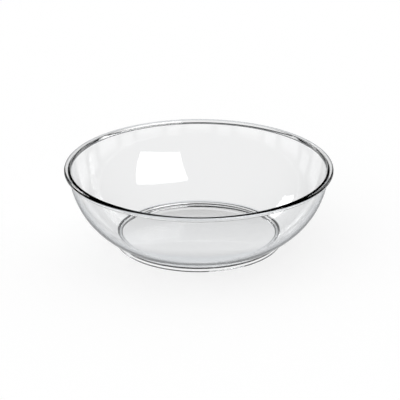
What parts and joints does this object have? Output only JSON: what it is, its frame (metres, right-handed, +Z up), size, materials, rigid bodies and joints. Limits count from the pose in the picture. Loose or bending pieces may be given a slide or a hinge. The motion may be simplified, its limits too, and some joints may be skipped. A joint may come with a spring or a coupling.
{
  "type": "glass dish",
  "caption": "Deep round dish of clear pressed glass with a flat rounded lip, a curved wall, a flat floor and a low foot ring.",
  "frame": {"origin": "centre of the plane that the foot ring rests on", "axes": "+Z up along the dish's axis of turning; the dish is round, so +X and +Y are any two directions across the rim"},
  "size_m": [0.2, 0.2, 0.0585],
  "materials": {
    "clear_glass": "clear, colourless, fire-polished gloss"
  },
  "bodies": {
    "root": {"glass_bowl": "clear_glass"}
  },
  "joints": []
}
